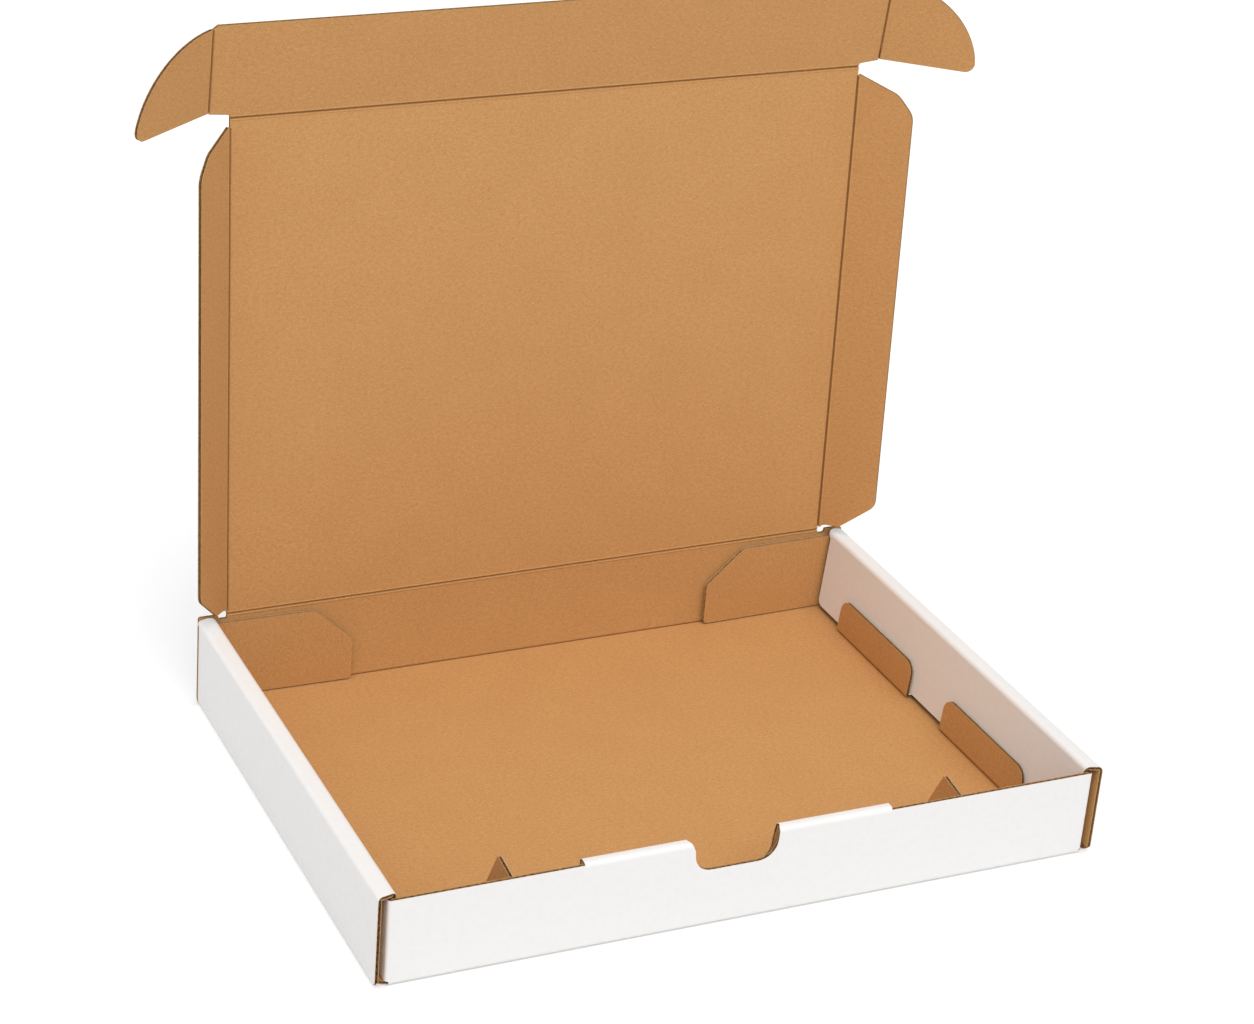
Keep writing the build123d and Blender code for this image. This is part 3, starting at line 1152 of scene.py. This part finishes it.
frontTurn = math.radians(lid["frontRest"])
flapUp = lidUp * math.cos(frontTurn) + lidFace * math.sin(frontTurn)
flapFace = lidFace * math.cos(frontTurn) - lidUp * math.sin(frontTurn)
frontLine = hingeLine + lidUp * lid["long"]
frontFlap = {
    "long": 41.9,
    "earHalf": 155.9,
    "earHigh": 40.3,
    "earStart": 2.9,
    "earLong": 43.0,
    "earCrease": (2.95, 40.2),
    "earSteps": 26,
}


def frontFlapPanel():
    f, wide = frontFlap, lid["halfLong"]
    ear, (low, high) = f["earHalf"], f["earCrease"]
    path = foldPath([(-ear, 0), (ear, 0)], start=-ear)
    right = [
        (wide, reach),
        (wide + 1.5, 1.6, 0.5),
        (ear - gap, f["earStart"] - 0.5, 0.3),
        (ear - gap, low),
        (ear - reach, low),
        (ear - reach, high),
        (ear - gap, high),
        (ear - gap, f["earHigh"], 0.4),
        (ear - 2, f["long"], 1.0),
    ]
    left = [(-c[0], *c[1:]) for c in reversed(right)]

    def onFold(p, q):
        atEar = abs(p) > ear - reach - 0.02 and low - 0.01 < q < high + 0.01
        return atEar or (q < reach + 0.01 and abs(p) < wide)

    axes = (xDir, flapFace, flapUp)
    return makeSheet(path, right + left, frontLine, axes, "q", lift=half, folds=onFold)


def earPanel(side):
    f = frontFlap
    turn = math.radians(lid["earRest"])
    out = xDir * (side * math.cos(turn)) + flapFace * math.sin(turn)
    normal = out.cross(flapUp) * side
    low, high = f["earCrease"]
    path = foldPath([(0, 0), (f["earLong"], 0)])
    start = f["earStart"]
    tip = f["earLong"] * math.cos(math.asin(start / f["earHigh"]))
    angles = [math.pi / 2 * k / f["earSteps"] for k in range(f["earSteps"])]
    curve = [(f["earLong"] * math.cos(a), f["earHigh"] * math.sin(a)) for a in angles]
    outline = [
        (gap, low),
        (gap, start),
        (tip, start, 5.0),
        *(c for c in curve if c[1] > start + 6.0),
        (gap, f["earHigh"] - 0.02),
        (gap, high),
        (reach, high),
        (reach, low),
    ]

    def onFold(p, q):
        return p < reach + 0.02 and low - 0.01 < q < high + 0.01

    origin = frontLine + xDir * (side * f["earHalf"])
    return makeSheet(path, outline, origin, (out, normal, flapUp), "q", lift=half, folds=onFold)


hang("lidPanel", "lid", [lidPanel()])
hang("rightSideFlap", "lid_right_flap", [sideFlapPanel(1)])
hang("leftSideFlap", "lid_left_flap", [sideFlapPanel(-1)])
hang("frontFlap", "lid_front_flap", [frontFlapPanel()])
hang("rightEar", "right_ear", [earPanel(1)])
hang("leftEar", "left_ear", [earPanel(-1)])


# Creases between panels that move: a short strip of both liners, bent to the angle at which the two
# panels it joins rest

crease = {
    "bend": 0.08,
    "bendSteps": 10,
    "rows": 9,             # strips to each side of the fold
    "deep": 0.55,          # how far the kraft liner is pressed in
    "wide": 0.36,
    "bulge": 0.2,
    "bulgeAt": 0.62,       # as a share of the strip's half length
    "dent": 0.1,
    "dentWide": 0.5,
    "middle": (0.18, 0.42),    # crushed flutes, as low and high
}


def creaseStrip(name, bodies, turn, origin, axes, low, high):
    c = crease
    path = foldPath(
        [(-reach, 0), (0, 0), (reach * math.cos(turn), reach * math.sin(turn))],
        radius=c["bend"], steps=c["bendSteps"],
    )
    middle = path["end"] / 2
    rows = [middle + side * reach * k / c["rows"] for k in range(1, c["rows"]) for side in (1, -1)]
    path["stops"] = sorted(path["stops"] + rows)
    # the dip presses the kraft liner in and also paints shade into its valley
    path["dips"] = [(middle, c["deep"], c["wide"], c["bulge"], reach * c["bulgeAt"])]
    path["dents"] = [(middle, c["dent"], c["dentWide"], 0.0, 1.0)]
    outline = [(0, low), (path["end"], low), (path["end"], high), (0, high)]
    sheet = makeSheet(path, outline, origin, axes, "q", lift=half)
    strip = makeBoard(name, [sheet], middle=c["middle"])
    start, end = (sheet["place"](p, (low + high) / 2, -half) * mm for p in (0, path["end"]))
    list(bodies)
    tuple(start)
    tuple(end)
    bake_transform(strip)


wide, frontBodies = lid["halfLong"], ("lid", "lid_front_flap")
creaseStrip("hingeCrease", ("tray", "lid"), -lean, hingeLine, (zDir, -yDir, xDir), -wide, wide)
creaseStrip("frontCrease", frontBodies, frontTurn, frontLine, (lidUp, lidFace, xDir), -wide, wide)
for side, label in ((1, "right"), (-1, "left")):
    creaseStrip(
        label + "SideCrease", ("lid", f"lid_{label}_flap"), math.radians(lid["flapRest"]),
        hingeLine + xDir * (side * wide), (xDir * side, lidFace, lidUp), *sideCrease,
    )
    creaseStrip(
        label + "EarCrease", ("lid_front_flap", label + "_ear"), math.radians(lid["earRest"]),
        frontLine + xDir * (side * frontFlap["earHalf"]), (xDir * side, flapFace, flapUp),
        *frontFlap["earCrease"],
    )
print("creases made")


# Floor, light and camera

studio = {
    "floorSize": 6.0,
    "floorZ": -0.0002,
    "floorColour": (0.82, 0.82, 0.82),
    "floorLift": 0.22,       # seen by the camera alone, so that bare floor reads as white
    "worldLight": 0.60,
    "keyFrom": (-0.05, -0.30, 0.51),
    "keyPower": 1.79,
    "keyAngle": 50.0,
    "fillFrom": (-0.50, 0.0, 0.15),
    "fillPower": 0.30,
    "fillAngle": 70.0,
}


def floorMaterial():
    material, tree, shader = nodeKit("studioFloor")
    shader.inputs["Base Color"].default_value = (*studio["floorColour"], 1)
    shader.inputs["Roughness"].default_value = 0.9
    shader.inputs["Specular IOR Level"].default_value = 0.0
    shader.inputs["Emission Color"].default_value = (1, 1, 1, 1)
    rays = tree.nodes.new("ShaderNodeLightPath")
    seen = mathNode(tree, "MULTIPLY", rays.outputs["Is Camera Ray"], studio["floorLift"])
    tree.links.new(seen, shader.inputs["Emission Strength"])
    return material


floorMesh = bpy.data.meshes.new("studioFloor")
size = studio["floorSize"]
corners = [(-size, -size, 0), (size, -size, 0), (size, size, 0), (-size, size, 0)]
floorMesh.from_pydata(corners, [], [(0, 1, 2, 3)])
floorMesh.materials.append(floorMaterial())
studioFloor = bpy.data.objects.new("studioFloor", floorMesh)
studioFloor.location.z = studio["floorZ"]
scene.collection.objects.link(studioFloor)

world = bpy.data.worlds.new("studioWorld")
world.use_nodes = True
scene.world = world
nodes, links = world.node_tree.nodes, world.node_tree.links
background = nodes["Background"]
background.inputs["Color"].default_value = (1, 1, 1, 1)
rays = nodes.new("ShaderNodeLightPath")
choose = nodes.new("ShaderNodeMix")
choose.inputs[2].default_value = studio["worldLight"]
choose.inputs[3].default_value = 1.0
links.new(rays.outputs["Is Camera Ray"], choose.inputs[0])
links.new(choose.outputs[0], background.inputs["Strength"])

for name in ("key", "fill"):
    lampData = bpy.data.lights.new(name + "Light", "SUN")
    lampData.energy = studio[name + "Power"]
    lampData.angle = math.radians(studio[name + "Angle"])
    lamp = bpy.data.objects.new(name + "Light", lampData)
    lamp.rotation_mode = "QUATERNION"
    lamp.rotation_quaternion = (-Vector(studio[name + "From"])).to_track_quat("-Z", "Y")
    lamp.location = Vector(studio[name + "From"]) * 3
    scene.collection.objects.link(lamp)

# The camera as solved from the photo: place in millimetres, focal length and middle in pixels
view = {
    "place": (-516.6, -882.2, 682.0),
    "right": (0.927875, -0.369579, 0.049600),
    "down": (-0.116437, -0.413520, -0.903019),
    "ahead": (0.354248, 0.832113, -0.426727),
    "focal": 3019.3,
    "middle": (450.0, 440.0),
    "picture": (1254.0, 1024.0),
    "sensor": 36.0,
}
cameraData = bpy.data.cameras.new("camera")
camera = bpy.data.objects.new("camera", cameraData)
scene.collection.objects.link(camera)
scene.camera = camera
(wide, high), middle = view["picture"], view["middle"]
cameraData.sensor_width = view["sensor"]
cameraData.lens = view["focal"] * view["sensor"] / wide
cameraData.shift_x = (wide / 2 - middle[0]) / wide
cameraData.shift_y = (middle[1] - high / 2) / wide
right, down, ahead = (Vector(view[k]) for k in ("right", "down", "ahead"))
turn = Matrix((right, -down, -ahead)).transposed().to_4x4()
camera.matrix_world = Matrix.Translation(Vector(view["place"]) * mm) @ turn
cameraData.clip_start = 0.05
cameraData.clip_end = 50
scene.view_settings.view_transform = "Standard"
print("camera placed")
